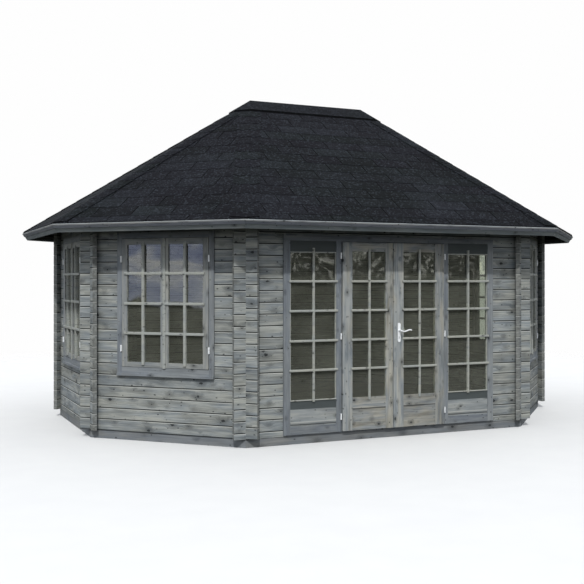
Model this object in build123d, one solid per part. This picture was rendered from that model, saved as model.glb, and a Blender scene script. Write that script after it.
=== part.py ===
from build123d import *
import math
import os

# Log summerhouse on a stretched octagon, doors to the front.
# Frame: origin on the ground at the centre of the plan, +Z up, front faces -Y, ridge along X.
# All sizes in millimetres.

# Plan, measured on the outer faces of the logs
front_length = 3250.0
side_length = 1745.0
corner_turn = 45.0

# Logs
wall_thickness = 44.0
log_pitch = 114.0
groove_depth = 5.0
groove_half_height = 5.0
stub_length = 120.0
notch_clearance = 0.4

# Shared by all pieces: the gap between seated pieces, and how far a cutting block runs past its piece
seat_gap = 0.3
cut_over = 1.0

# Base and floor
base_height = 83.0
base_width = 60.0
base_setback = 6.0
floor_thickness = 19.0
floor_gap = 1.0
joist_width = 45.0
joist_spacing = 600.0

# Roof
roof_pitch = 32.2
eave_overhang = 412.0
eave_height = 2165.0
deck_thickness = 22.0
mitre_gap = 0.3
fascia_depth = 95.0
fascia_thickness = 18.0
drip_height = 14.0
drip_thickness = 6.0
eave_batten_width = 45.0
eave_batten_height = 48.0
cap_width = 237.0
cap_thickness = 23.0
ridge_beam_width = 60.0
ridge_beam_height = 145.0
hip_rafter_width = 58.0
hip_rafter_height = 95.0

# Casings of doors and windows stand proud of the logs
casing_proud = 16.0
casing_overlap = 28.0
rebate = 15.0
glass_thickness = 4.0
glass_cover = 9.0
glass_clearance = 0.3
pane_setback = 14.0

# Door set, half widths from the centre of the front
door_set_half = 1236.0
side_light_outer = 1165.0
side_light_inner = 661.0
door_reveal = 605.0
door_set_bottom = 95.0
door_set_top = 2052.0
side_light_top = 2002.0
side_light_bottom = 172.0
door_opening_top = 2000.0
sill_top = 92.0
stop_depth = 20.0

# Fixed side lights
side_glass_top = 1894.0
side_glass_bottom = 432.0
infill_bottom = 342.0
infill_setback = 8.0
infill_thickness = 12.0
panel_bevel = 45.0
panel_bevel_depth = 9.0
panel_thickness = 24.0
panel_setback = 4.0

# Door leaves
leaf_thickness = 54.0
leaf_proud = 19.0
leaf_gap = 8.0
leaf_stop_gap = 6.0
meeting_offset = -18.0
leaf_bottom = 100.0
leaf_glass_inner = 105.0
leaf_glass_outer = 490.0
leaf_glass_top = 1902.0
leaf_glass_bottom = 430.0
leaf_panel_top = 317.0
leaf_panel_recess = 5.0

# Door hinges
hinge_heights = (246.0, 1050.0, 1857.0)
hinge_length = 62.0
hinge_radius = 7.0
hinge_offset = 16.0
hinge_proud = 12.0
hinge_web = 6.0

# Door handle
handle_height = 1096.0
handle_inset = 64.0
handle_plate_width = 32.0
handle_plate_length = 198.0
handle_plate_thickness = 7.0
handle_plate_drop = 22.0
spindle_radius = 9.0
spindle_fit = 0.3
lever_length = 118.0
lever_reach = 48.0
lever_width = 12.0
lever_thickness = 12.0
lever_wave = 7.0
lever_line = ((0.0, 0.3), (0.2, -1.0), (0.42, -1.0), (0.68, 0.4), (0.88, 1.0), (1.0, 0.5))
keyhole_drop = 76.0
keyhole_width = 10.0
keyhole_length = 26.0

# Windows, centred on their walls
window_casing_half = 541.0
window_casing_width = 54.0
window_bottom = 676.0
window_top = 2092.0
window_sash_bottom = 743.0
window_sash_top = 2028.0
window_sash_gap = 4.0
window_meeting_gap = 3.0
window_sash_thickness = 46.0
window_sash_proud = 3.0
window_outer_stile = 60.0
window_meeting_stile = 42.0
window_stop = 14.0
window_glass_bottom = 791.0
window_glass_top = 1968.0
window_drip_height = 25.0
window_drip_proud = 14.0

# Derived plan sizes
corner_run = side_length * math.sin(math.radians(corner_turn))
half_depth = side_length / 2 + corner_run
half_length = front_length / 2 + corner_run
ridge_half = half_length - half_depth
slope = math.tan(math.radians(roof_pitch))
roof_apex = eave_height + (half_depth + eave_overhang) * slope


def corner_points(outset):
    """Corners of the octagon set out from the wall faces, anticlockwise from front left."""
    shift = outset * math.tan(math.radians(corner_turn / 2))
    x_front = front_length / 2 + shift
    x_end = half_length + outset
    y_front = half_depth + outset
    y_end = side_length / 2 + shift
    return [(-x_front, -y_front), (x_front, -y_front), (x_end, -y_end), (x_end, y_end),
            (x_front, y_front), (-x_front, y_front), (-x_end, y_end), (-x_end, -y_end)]


wall_names = ["front", "front_right", "right_end", "back_right",
              "back", "back_left", "left_end", "front_left"]
window_walls = ["front_right", "right_end", "left_end", "front_left"]


def wall_plane(index):
    """Work plane of a wall: x along its outer face, y inwards, z up."""
    points = corner_points(0.0)
    start = points[index]
    end = points[(index + 1) % 8]
    return Plane(origin=(start[0], start[1], 0.0), x_dir=(end[0] - start[0], end[1] - start[1], 0.0),
                 z_dir=(0.0, 0.0, 1.0))


def wall_length(index):
    """Length of a wall between its corner points."""
    return front_length if index % 4 == 0 else side_length


def starts_with_half_log(index):
    """Front, back and end walls start on half a log, the diagonals on a whole one."""
    return index % 2 == 0


def prism_x(points_yz, x_from, x_to):
    """Solid with a section in y and z, drawn out along x."""
    outline = [(x_from, y, z) for y, z in points_yz]
    face = Face(Wire.make_polygon([Vector(*p) for p in outline], close=True))
    return Solid.extrude(face, Vector(x_to - x_from, 0.0, 0.0))


def prism_z(points_xy, z_from, z_to):
    """Solid with a plan in x and y, drawn up along z."""
    outline = [Vector(x, y, z_from) for x, y in points_xy]
    face = Face(Wire.make_polygon(outline, close=True))
    return Solid.extrude(face, Vector(0.0, 0.0, z_to - z_from))


def block(x_from, x_to, y_from, y_to, z_from, z_to):
    """Rectangular block given by its faces."""
    size = (x_to - x_from, y_to - y_from, z_to - z_from)
    return Pos(x_from, y_from, z_from) * Box(*size, align=(Align.MIN, Align.MIN, Align.MIN))


def placed(index, shape):
    """Shape moved from a wall's own frame to its place in the plan."""
    return wall_plane(index).location * shape


def sector(index, outset, inset, z_from, z_to):
    """Plan wedge of one side of the octagon, from the eaves to the ridge."""
    outer = corner_points(outset)
    ridge_x = {0: (ridge_half, -ridge_half), 4: (-ridge_half, ridge_half)}
    if index in ridge_x:
        inner = [(x, 0.0) for x in ridge_x[index]]
    else:
        inner = [(ridge_half if index < 4 else -ridge_half, 0.0)]
    plan = [outer[index], outer[(index + 1) % 8]] + inner
    return prism_z(inset_polygon(plan, inset), z_from, z_to)


def inset_polygon(points, inset):
    """Convex anticlockwise polygon with every edge moved inwards."""
    count = len(points)
    lines = []
    for i in range(count):
        (x1, y1), (x2, y2) = points[i], points[(i + 1) % count]
        length = math.hypot(x2 - x1, y2 - y1)
        normal = (-(y2 - y1) / length, (x2 - x1) / length)
        lines.append((normal, normal[0] * x1 + normal[1] * y1 + inset))
    result = []
    for i in range(count):
        (a1, b1), c1 = lines[i - 1]
        (a2, b2), c2 = lines[i]
        det = a1 * b2 - a2 * b1
        result.append(((c1 * b2 - c2 * b1) / det, (a1 * c2 - a2 * c1) / det))
    return result


def roof_point(depth, drop):
    """Point of a roof section: depth inwards from the wall face, drop square to the slope."""
    rise = math.radians(roof_pitch)
    y = depth + drop * math.sin(rise)
    z = eave_height + (depth + eave_overhang) * slope - drop * math.cos(rise)
    return (y, z)


def slope_point(along, drop):
    """Point of a roof section: along the slope from the eave edge, drop square to it."""
    return roof_point(along * math.cos(math.radians(roof_pitch)) - eave_overhang, drop)


def hipped_solid(outset, z_bottom, drop):
    """Solid under a hipped roof surface lying square below the roof's top."""
    rise = math.radians(roof_pitch)
    z_edge = eave_height + (eave_overhang - outset) * slope - drop / math.cos(rise)
    z_ridge = z_edge + (half_depth + outset) * slope
    ring = corner_points(outset)
    low = [Vector(x, y, z_bottom) for x, y in ring]
    high = [Vector(x, y, z_edge) for x, y in ring]
    ridge_right = Vector(ridge_half, 0.0, z_ridge)
    ridge_left = Vector(-ridge_half, 0.0, z_ridge)
    tops = {0: [ridge_right, ridge_left], 4: [ridge_left, ridge_right]}
    faces = [Face(Wire.make_polygon(low, close=True))]
    for i in range(8):
        j = (i + 1) % 8
        faces.append(Face(Wire.make_polygon([low[i], low[j], high[j], high[i]], close=True)))
        top = tops.get(i, [ridge_right if i < 4 else ridge_left])
        faces.append(Face(Wire.make_polygon([high[i], high[j]] + top, close=True)))
    return Solid(Shell(faces))


# Walls of logs with crossed, interlocking corners
def log_joints(index):
    """Heights of the joints between the logs of a wall."""
    first = base_height + (log_pitch / 2 if starts_with_half_log(index) else log_pitch)
    count = int((roof_apex - first) / log_pitch)
    return [first + k * log_pitch for k in range(count)]


def log_section(index, z_from, z_to):
    """Section of stacked logs, flat inside and with a V groove at each joint outside."""
    outline = [(wall_thickness, z_from), (0.0, z_from)]
    for z in log_joints(index):
        if z_from + groove_half_height < z < z_to - groove_half_height:
            outline += [(0.0, z - groove_half_height), (groove_depth, z), (0.0, z + groove_half_height)]
    return outline + [(0.0, z_to), (wall_thickness, z_to)]


def crossing_plan():
    """Plan of the neighbour's logs where they pass through a wall at its start corner."""
    turn = math.radians(corner_turn)
    skew = math.tan(turn)
    width = wall_thickness / math.sin(turn)
    spare = notch_clearance / math.sin(turn)
    low, high = -groove_depth, wall_thickness + groove_depth
    return [(-low / skew - spare, low), (width - low / skew + spare, low),
            (width - high / skew + spare, high), (-high / skew - spare, high)]


def corner_notches(index, at_start):
    """Notches at one corner: the lower half of each whole log lets the neighbour's log through."""
    plan = crossing_plan()
    if not at_start:
        plan = [(wall_length(index) - x, y) for x, y in reversed(plan)]
    seats = log_joints(index)
    if not starts_with_half_log(index):
        seats = [base_height - notch_clearance] + seats
    return [prism_z(plan, z, z + log_pitch / 2 + notch_clearance) for z in seats]


def log_wall(index, x_from, x_to, z_from, z_to, corners):
    """Run of a log wall in its own frame, notched at the corners it reaches."""
    wall = prism_x(log_section(index, z_from, z_to), x_from, x_to)
    for at_start in corners:
        wall = wall - corner_notches(index, at_start)
    return wall


def whole_wall(index):
    """Log wall from stub to stub, up to the roof."""
    return log_wall(index, -stub_length, wall_length(index) + stub_length,
                    base_height, roof_apex, [True, False])


def under_roof(shape):
    """Shape cut back to the underside of the roof boards."""
    return shape & hipped_solid(stub_length * 2, 0.0, deck_thickness + seat_gap)


def ring_frame(x_from, x_to, z_from, z_to, y_from, y_to, holes):
    """Upright frame with rectangular holes right through it."""
    frame = block(x_from, x_to, y_from, y_to, z_from, z_to)
    for hole in holes:
        frame = frame - block(hole[0], hole[1], y_from - cut_over, y_to + cut_over, hole[2], hole[3])
    return frame


def glass_rebate(x_from, x_to, z_from, z_to, y_front, y_back):
    """Wider recess behind an opening where the glass is let in."""
    return block(x_from - glass_cover, x_to + glass_cover, y_front, y_back,
                 z_from - glass_cover, z_to + glass_cover)


def glass_sheet(x_from, x_to, z_from, z_to, y_front):
    """Sheet of glass lying in its rebate."""
    edge = glass_cover - glass_clearance
    return block(x_from - edge, x_to + edge, y_front + glass_clearance,
                 y_front + glass_clearance + glass_thickness, z_from - edge, z_to + edge)


nodes = {}

# Base frame, joists and floor
base_beams = []
for index in range(8):
    length = wall_length(index)
    beam = block(-log_pitch, length + log_pitch, base_setback, base_setback + base_width, 0.0, base_height)
    base_beams.append(placed(index, beam) & sector(index, 0.0, mitre_gap, -cut_over, base_height + cut_over))
nodes["base_frame"] = base_beams

floor_inset = base_setback + base_width + floor_gap
floor_plan = corner_points(-floor_inset)
nodes["floor_boards"] = [prism_z(floor_plan, base_height - floor_thickness, base_height)]

joist_top = base_height - floor_thickness
joist_outline = prism_z(corner_points(-floor_inset), 0.0, joist_top)
joist_count = int((half_length - joist_width) / joist_spacing)
joists = []
for k in range(-joist_count, joist_count + 1):
    x = k * joist_spacing
    strip = block(x - joist_width / 2, x + joist_width / 2, -half_depth, half_depth, 0.0, joist_top)
    joists.append(strip & joist_outline)
nodes["floor_joists"] = joists

# Front wall, split beside and over the door set
door_centre = front_length / 2
opening_half = door_set_half - casing_overlap
opening_top = door_set_top - casing_overlap
left_run = log_wall(0, -stub_length, door_centre - opening_half - seat_gap, base_height, roof_apex, [True])
right_run = log_wall(0, door_centre + opening_half + seat_gap, front_length + stub_length,
                     base_height, roof_apex, [False])
header_run = log_wall(0, door_centre - opening_half, door_centre + opening_half,
                      opening_top + seat_gap, roof_apex, [])
nodes["front_wall_left"] = [under_roof(placed(0, left_run))]
nodes["front_wall_right"] = [under_roof(placed(0, right_run))]
nodes["front_wall_header"] = [under_roof(placed(0, header_run))]

# Other walls
for index in range(1, 8):
    name = wall_names[index]
    wall = whole_wall(index)
    if name in window_walls:
        centre = wall_length(index) / 2
        half = window_casing_half - casing_overlap
        wall = wall - block(centre - half - seat_gap, centre + half + seat_gap, -casing_proud,
                            wall_thickness + casing_proud, window_bottom + casing_overlap - seat_gap,
                            window_top - casing_overlap + seat_gap)
    nodes[name + "_wall"] = [under_roof(placed(index, wall))]


# Windows
def window_parts(index):
    """Casing, two sashes and two panes of a window in its wall's own frame."""
    centre = wall_length(index) / 2
    face = -casing_proud
    half = window_casing_half
    inner = half - window_casing_width
    liner_half = half - casing_overlap
    sash_front = face - window_sash_proud
    sash_back = sash_front + window_sash_thickness
    casing = block(centre - half, centre + half, face, -seat_gap, window_bottom, window_top)
    liner = block(centre - liner_half, centre + liner_half, face, wall_thickness,
                  window_bottom + casing_overlap, window_top - casing_overlap)
    drip = block(centre - half, centre + half, face - window_drip_proud, -seat_gap,
                 window_bottom - window_drip_height, window_bottom)
    pocket = block(centre - inner, centre + inner, face - cut_over, sash_back + seat_gap,
                   window_sash_bottom - window_sash_gap, window_sash_top + window_sash_gap)
    light = block(centre - inner + window_stop, centre + inner - window_stop, face, wall_thickness + cut_over,
                  window_sash_bottom + window_stop, window_sash_top - window_stop)
    frame = casing + liner + drip - pocket - light
    sashes = []
    panes = []
    glass_front = sash_front + pane_setback
    for side in (-1, 1):
        outer = centre + side * (inner - window_sash_gap)
        meet = centre + side * window_meeting_gap / 2
        low, high = min(outer, meet), max(outer, meet)
        edges = sorted((outer - side * window_outer_stile, meet + side * window_meeting_stile))
        hole = (edges[0], edges[1], window_glass_bottom, window_glass_top)
        sash = ring_frame(low, high, window_sash_bottom, window_sash_top, sash_front, sash_back, [hole])
        sashes.append(sash - glass_rebate(*hole, glass_front, sash_back + cut_over))
        panes.append(glass_sheet(*hole, glass_front))
    return frame, sashes, panes


window_panes = []
for name in window_walls:
    index = wall_names.index(name)
    frame, sashes, panes = window_parts(index)
    nodes[name + "_window_frame"] = [placed(index, frame)]
    nodes[name + "_window_sashes"] = [placed(index, sash) for sash in sashes]
    window_panes += [placed(index, pane) for pane in panes]
nodes["window_glass"] = window_panes


# Door frame with a fixed light on each side of the doorway
def front_x(from_centre):
    """Distance along the front wall of a point given from the middle of the doors."""
    return door_centre + from_centre


frame_face = -casing_proud
leaf_front = frame_face - leaf_proud
leaf_back = leaf_front + leaf_thickness
stop_front = leaf_back + leaf_stop_gap
frame_back = stop_front + stop_depth

casing = block(front_x(-door_set_half), front_x(door_set_half), frame_face, -seat_gap,
               door_set_bottom, door_set_top)
liner = block(front_x(-opening_half), front_x(opening_half), frame_face, frame_back, base_height, opening_top)
door_frame = casing + liner
door_frame = door_frame - block(front_x(-door_set_half - cut_over), front_x(door_set_half + cut_over),
                                frame_face - cut_over, 0.0, base_height - cut_over, door_set_bottom)
door_frame = door_frame - block(front_x(-door_reveal), front_x(door_reveal), frame_face - cut_over,
                                stop_front, sill_top, door_opening_top)
door_frame = door_frame - block(front_x(-door_reveal + rebate), front_x(door_reveal - rebate),
                                frame_face - cut_over, frame_back + cut_over,
                                sill_top, door_opening_top - rebate)
glass_plane = frame_face + infill_setback + infill_thickness
side_holes = []
for side in (-1, 1):
    edges = sorted((front_x(side * side_light_outer), front_x(side * side_light_inner)))
    side_holes.append((edges[0], edges[1]))
    door_frame = door_frame - block(edges[0], edges[1], frame_face - cut_over, frame_back + cut_over,
                                    side_light_bottom, side_light_top)
    door_frame = door_frame - block(edges[0] - glass_cover, edges[1] + glass_cover, glass_plane,
                                    frame_back + cut_over, side_light_bottom - glass_cover,
                                    side_light_top + glass_cover)
nodes["door_frame"] = [placed(0, door_frame)]

infill = []
side_glass = []
side_panels = []
for low, high in side_holes:
    fit = glass_clearance
    y_front = frame_face + infill_setback
    for z_low, z_high in ((side_glass_top, side_light_top), (infill_bottom, side_glass_bottom)):
        infill.append(placed(0, block(low + fit, high - fit, y_front, y_front + infill_thickness,
                                      z_low, z_high - fit)))
    edge = glass_cover - fit
    side_glass.append(placed(0, block(low - edge, high + edge, glass_plane + fit,
                                      glass_plane + fit + glass_thickness,
                                      infill_bottom + fit, side_light_top + edge)))
    y_panel = frame_face + panel_setback
    field = block(low + fit, high - fit, y_panel, y_panel + panel_thickness, side_light_bottom + fit,
                  infill_bottom - fit)
    bevel_top = side_light_bottom + panel_bevel
    y_outside = y_panel - cut_over
    bevel_profile = [(y_outside, side_light_bottom), (y_panel + panel_bevel_depth, side_light_bottom),
                     (y_panel, bevel_top), (y_outside, bevel_top)]
    side_panels.append(placed(0, field - prism_x(bevel_profile, low, high)))
nodes["side_light_infill"] = infill
nodes["side_light_glass"] = side_glass
nodes["side_light_panels"] = side_panels


# Door leaves
def leaf_parts(side):
    """Frame, lower panel and glass of a leaf in the front wall's own frame."""
    hinge_edge = front_x(side * (door_reveal - leaf_gap))
    meet_edge = front_x(meeting_offset + side * leaf_gap / 2)
    low, high = min(hinge_edge, meet_edge), max(hinge_edge, meet_edge)
    glass_edges = sorted((front_x(side * leaf_glass_inner), front_x(side * leaf_glass_outer)))
    leaf_top = door_opening_top - leaf_gap
    hole = (glass_edges[0], glass_edges[1], leaf_glass_bottom, leaf_glass_top)
    frame = ring_frame(low, high, leaf_bottom, leaf_top, leaf_front, leaf_back, [hole])
    glass_front = leaf_front + pane_setback
    frame = frame - glass_rebate(*hole, glass_front, leaf_back + cut_over)
    well = block(glass_edges[0], glass_edges[1], leaf_front - cut_over, leaf_front + leaf_panel_recess,
                 leaf_bottom - cut_over, leaf_panel_top)
    frame = frame - well
    return frame, glass_sheet(*hole, glass_front)


def bore(x, z, radius, y_from, y_to):
    """Round hole or bar along y."""
    cylinder = Cylinder(radius, y_to - y_from, align=(Align.CENTER, Align.CENTER, Align.MIN))
    return Pos(x, y_from, z) * Rot(-90, 0, 0) * cylinder


handle_x = front_x(meeting_offset + leaf_gap / 2 + handle_inset)
for side, name in ((-1, "left"), (1, "right")):
    frame, pane = leaf_parts(side)
    if side > 0:
        frame = frame - bore(handle_x, handle_height, spindle_radius + spindle_fit,
                             leaf_front - cut_over, leaf_back + cut_over)
    nodes[name + "_door_leaf"] = [placed(0, frame)]
    nodes[name + "_door_glass"] = [placed(0, pane)]


# Door hinges
def hinge_axis_x(side):
    """Place of a hinge line along the front wall."""
    return front_x(side * (door_reveal - leaf_gap + hinge_offset))


def upright(x, y, z_from, z_to, radius):
    """Upright round bar."""
    cylinder = Cylinder(radius, z_to - z_from, align=(Align.CENTER, Align.CENTER, Align.MIN))
    return Pos(x, y, z_from) * cylinder


hinge_y = frame_face - hinge_proud
frame_hinges = []
for side, name in ((-1, "left"), (1, "right")):
    x = hinge_axis_x(side)
    leaf_edge = front_x(side * (door_reveal - leaf_gap))
    leaf_hinges = []
    for z in hinge_heights:
        low = upright(x, hinge_y, z - hinge_length / 2, z - seat_gap / 2, hinge_radius)
        web = block(x - hinge_web / 2, x + hinge_web / 2, hinge_y, frame_face,
                    z - hinge_length / 2, z - seat_gap / 2)
        frame_hinges.append(placed(0, low + web))
        top = upright(x, hinge_y, z + seat_gap / 2, z + hinge_length / 2, hinge_radius)
        arm = block(min(x, leaf_edge), max(x, leaf_edge), hinge_y - hinge_web / 2, hinge_y + hinge_web / 2,
                    z + seat_gap / 2, z + hinge_length / 2)
        leaf_hinges.append(placed(0, top + arm))
    nodes[name + "_leaf_hinges"] = leaf_hinges
nodes["frame_hinges"] = frame_hinges

# Handle plates and lever
z_mid = handle_height - handle_plate_drop
z_key = handle_height - keyhole_drop
round_end = handle_plate_width / 2
straight_half = handle_plate_length / 2 - round_end
plates = []
for y_from in (leaf_front - handle_plate_thickness, leaf_back):
    plate = block(handle_x - round_end, handle_x + round_end, y_from, y_from + handle_plate_thickness,
                  z_mid - straight_half, z_mid + straight_half)
    for z in (z_mid - straight_half, z_mid + straight_half):
        plate = plate + bore(handle_x, z, round_end, y_from, y_from + handle_plate_thickness)
    plate = plate - bore(handle_x, handle_height, spindle_radius + spindle_fit, y_from - cut_over,
                         y_from + handle_plate_thickness + cut_over)
    plate = plate - block(handle_x - keyhole_width / 2, handle_x + keyhole_width / 2, y_from - cut_over,
                          y_from + handle_plate_thickness + cut_over, z_key - keyhole_length / 2,
                          z_key + keyhole_length / 2)
    plates.append(placed(0, plate))
nodes["handle_plates"] = plates


def lever_arm(y_from, y_to):
    """Flat waved grip: it dips past the neck, rises and turns down again at its tip."""
    half = lever_width / 2
    top = [Vector(handle_x + share * lever_length, y_from, handle_height + rise * lever_wave + half)
           for share, rise in lever_line]
    low = [point - Vector(0.0, 0.0, lever_width) for point in top]
    tip = top[-1] + Vector(half, 0.0, -half)
    outline = Wire([Edge.make_spline(top), Edge.make_three_point_arc(top[-1], tip, low[-1]),
                    Edge.make_spline(low[::-1]), Edge.make_line(low[0], top[0])])
    return Solid.extrude(Face(outline), Vector(0.0, y_to - y_from, 0.0))


outer_end = leaf_front - handle_plate_thickness - lever_reach
inner_end = leaf_back + handle_plate_thickness + lever_reach
lever = bore(handle_x, handle_height, spindle_radius, outer_end, inner_end)
lever = lever + lever_arm(outer_end, outer_end + lever_thickness)
lever = lever + lever_arm(inner_end - lever_thickness, inner_end)
nodes["door_lever"] = [placed(0, lever)]


# Roof: eight boarded panels, and along the eaves battens, fascias and drip strips
def roof_wedge(index):
    """Plan wedge of one roof face, mitred to its neighbours."""
    return sector(index, spread, mitre_gap, 0.0, roof_apex + cut_over)


spread = eave_overhang * 2
deck_edge = fascia_thickness + drip_thickness
for index in range(8):
    length = wall_length(index)
    ridge_depth = half_depth + eave_overhang
    section = [slope_point(deck_edge, 0.0), roof_point(ridge_depth, 0.0),
               roof_point(ridge_depth, deck_thickness), slope_point(deck_edge, deck_thickness)]
    panel = prism_x(section, -spread, length + spread)
    nodes[wall_names[index] + "_roof_panel"] = [placed(index, panel) & roof_wedge(index)]


def eave_member(index, along_from, along_to, drop_from, drop_to):
    """Member along one eave, square to the slope and mitred at its ends."""
    section = [slope_point(along_from, drop_from), slope_point(along_to, drop_from),
               slope_point(along_to, drop_to), slope_point(along_from, drop_to)]
    return placed(index, prism_x(section, -spread, wall_length(index) + spread)) & roof_wedge(index)


sides = range(8)
nodes["fascia_boards"] = [eave_member(i, drip_thickness, deck_edge - seat_gap, 0.0, fascia_depth)
                          for i in sides]
nodes["eaves_drips"] = [eave_member(i, 0.0, drip_thickness - seat_gap, 0.0, drip_height) for i in sides]
nodes["eave_battens"] = [eave_member(i, deck_edge, deck_edge + eave_batten_width, deck_thickness + seat_gap,
                                     deck_thickness + eave_batten_height) for i in sides]

# Ridge cap: a small hipped roof lying over the top of the big one
cap_lift = cap_thickness + seat_gap
cap_outline = prism_z(inset_polygon(corner_points(0.0), half_depth - cap_width),
                      0.0, roof_apex + 2 * cap_thickness)
cap = (hipped_solid(eave_overhang, eave_height - eave_overhang, -cap_lift) & cap_outline) - hipped_solid(
    eave_overhang * 2, eave_height - eave_overhang * 2, -seat_gap)
nodes["ridge_cap"] = [cap]

# Ridge beam and hip rafters under the boards
under_boards = hipped_solid(0.0, 0.0, deck_thickness + seat_gap)
ridge_z = roof_apex - deck_thickness / math.cos(math.radians(roof_pitch))
beam = block(-ridge_half, ridge_half, -ridge_beam_width / 2, ridge_beam_width / 2,
             ridge_z - ridge_beam_height, ridge_z)
nodes["ridge_beam"] = [beam & under_boards]

rafter_over = hipped_solid(0.0, 0.0, deck_thickness + hip_rafter_height)
inner_corners = corner_points(-wall_thickness)
room = prism_z(corner_points(-wall_thickness - seat_gap), 0.0, roof_apex)
rafters = []
for index in range(8):
    ridge_x = ridge_half if index in (1, 2, 3, 4) else -ridge_half
    x, y = inner_corners[index]
    run = math.hypot(x - ridge_x, y)
    angle = math.degrees(math.atan2(y, x - ridge_x))
    start = ridge_beam_width
    bar = block(start, run + wall_thickness, -hip_rafter_width / 2, hip_rafter_width / 2,
                eave_height - eave_overhang, roof_apex)
    bar = Pos(ridge_x, 0.0, 0.0) * Rot(0, 0, angle) * bar
    rafters.append((bar & under_boards & room) - rafter_over)
nodes["hip_rafters"] = rafters

os.makedirs("parts", exist_ok=True)
for name, shapes in nodes.items():
    solids = [solid for shape in shapes for solid in shape.solids()]
    part = solids[0] if len(solids) == 1 else Compound(children=solids)
    part.label = name
    export_step(part, os.path.join("parts", name + ".step"))
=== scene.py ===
"""Log summerhouse: its looks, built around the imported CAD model, in metres and in the model's own frame."""
import logging
import math
from collections.abc import Sequence
from dataclasses import dataclass, replace
from enum import Enum

import bpy
import numpy as np
from bpy.types import Material, NodeSocket, NodeTree, Object, bpy_prop_collection
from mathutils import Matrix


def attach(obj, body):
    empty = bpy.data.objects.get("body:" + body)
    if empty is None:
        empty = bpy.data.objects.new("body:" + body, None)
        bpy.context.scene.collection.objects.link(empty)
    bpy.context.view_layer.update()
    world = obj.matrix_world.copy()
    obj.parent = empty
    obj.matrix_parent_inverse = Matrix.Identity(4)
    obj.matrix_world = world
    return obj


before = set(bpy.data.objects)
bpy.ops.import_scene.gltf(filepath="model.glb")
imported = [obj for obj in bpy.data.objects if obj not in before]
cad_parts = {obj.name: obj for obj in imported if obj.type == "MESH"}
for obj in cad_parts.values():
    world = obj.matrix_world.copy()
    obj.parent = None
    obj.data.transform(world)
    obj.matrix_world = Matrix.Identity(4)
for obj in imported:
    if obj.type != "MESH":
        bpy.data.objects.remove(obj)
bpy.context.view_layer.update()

log = logging.getLogger("summerhouse")

# The setting that the word after a node's kind stands for.
MAIN_SETTING = {"Math": "operation", "VectorMath": "operation", "MapRange": "interpolation_type",
                "Mix": "data_type"}

# A part of a piece: its corner points, its faces of four corners, and its corner values by name.
Part = tuple[np.ndarray, np.ndarray, dict[str, np.ndarray]]


def linear(code: str) -> tuple[float, float, float, float]:
    """Turn an sRGB hex colour into linear light.

    Args:
        code: the colour, such as "8a8f8f".

    Returns:
        Red, green, blue and an alpha of 1.
    """
    channels = [int(code[i:i + 2], 16) / 255 for i in (0, 2, 4)]
    return tuple(c / 12.92 if c <= 0.04045 else ((c + 0.055) / 1.055) ** 2.4 for c in channels) + (1.0,)


def add(tree: NodeTree, kind: str, inputs: Sequence | dict = (), ramp: Sequence = (),
        **settings: object) -> bpy_prop_collection:
    """Add one node, with its settings, its input values or links, and its colour stops.

    Args:
        tree: the node tree that gets the node.
        kind: Blender's name for the node, without "ShaderNode"; its main setting may stand after a space.
        inputs: what goes into the sockets: a value, a hex colour, or the output socket that it is linked to.
            A list fills the first sockets in order, and a dict gives their names or numbers.
        ramp: places and hex colours of a colour ramp's stops.
        settings: other properties of the node itself.

    Returns:
        The new node's outputs.
    """
    kind, *main_setting = kind.split()
    node = tree.nodes.new("ShaderNode" + kind)
    for value in main_setting:
        setattr(node, MAIN_SETTING[kind], value)
    for name, value in settings.items():
        setattr(node, name, value)
    for name, value in inputs.items() if isinstance(inputs, dict) else enumerate(inputs):
        if isinstance(value, NodeSocket):
            tree.links.new(value, node.inputs[name])
        else:
            node.inputs[name].default_value = linear(value) if isinstance(value, str) else value
    for index, (place, code) in enumerate(ramp):
        stops = node.color_ramp.elements
        stop = stops[index] if index < len(stops) else stops.new(place)
        stop.position, stop.color = place, linear(code)
    return node.outputs


def linked(name: str, data: bpy.types.ID) -> Object:
    """Make an object of this data and link it to the scene.

    Args:
        name: the object's name.
        data: its mesh, camera or light.

    Returns:
        The object, at the origin.
    """
    made = bpy.data.objects.new(name, data)
    bpy.context.scene.collection.objects.link(made)
    return made


def mesh_piece(name: str, parts: list[Part], body: str, material: Material) -> None:
    """Join parts to one mesh of quads, link it, let it ride on its body and dress it.

    Args:
        name: the piece's name.
        parts: for each part its corner points in metres, one row each; its faces, four corner numbers a row,
            anticlockwise seen from outside; and the numbers its corners keep for the material.
        body: the CAD body that carries the piece.
        material: the piece's finish.
    """
    corners, quads, values = zip(*parts)
    firsts = np.cumsum([0] + [len(points) for points in corners])
    points = np.concatenate(corners)
    faces = np.concatenate([numbers + first for numbers, first in zip(quads, firsts)])
    mesh = bpy.data.meshes.new(name)
    mesh.vertices.add(len(points))
    mesh.vertices.foreach_set("co", points.astype(np.float32).ravel())
    mesh.loops.add(faces.size)
    mesh.loops.foreach_set("vertex_index", faces.astype(np.int32).ravel())
    mesh.polygons.add(len(faces))
    mesh.polygons.foreach_set("loop_start", np.arange(0, faces.size, 4, dtype=np.int32))
    mesh.update(calc_edges=True)
    for label in values[0]:
        numbers = np.concatenate([each[label].ravel() for each in values]).astype(np.float32)
        mesh.attributes.new(label, "FLOAT", "POINT").data.foreach_set("value", numbers)
    mesh.validate()
    mesh.set_sharp_from_angle(angle=SHARP)
    piece = linked(name, mesh)
    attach(piece, body)
    mesh.materials.append(material)
    log.info("%s: %d faces on %s", name, len(mesh.polygons), body)


def dress(names: list[str], material: Material) -> None:
    """Give these CAD pieces this one material.

    Args:
        names: the pieces' nodes.
        material: their finish.
    """
    for name in names:
        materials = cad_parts[name].data.materials
        materials.clear()
        materials.append(material)


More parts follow.
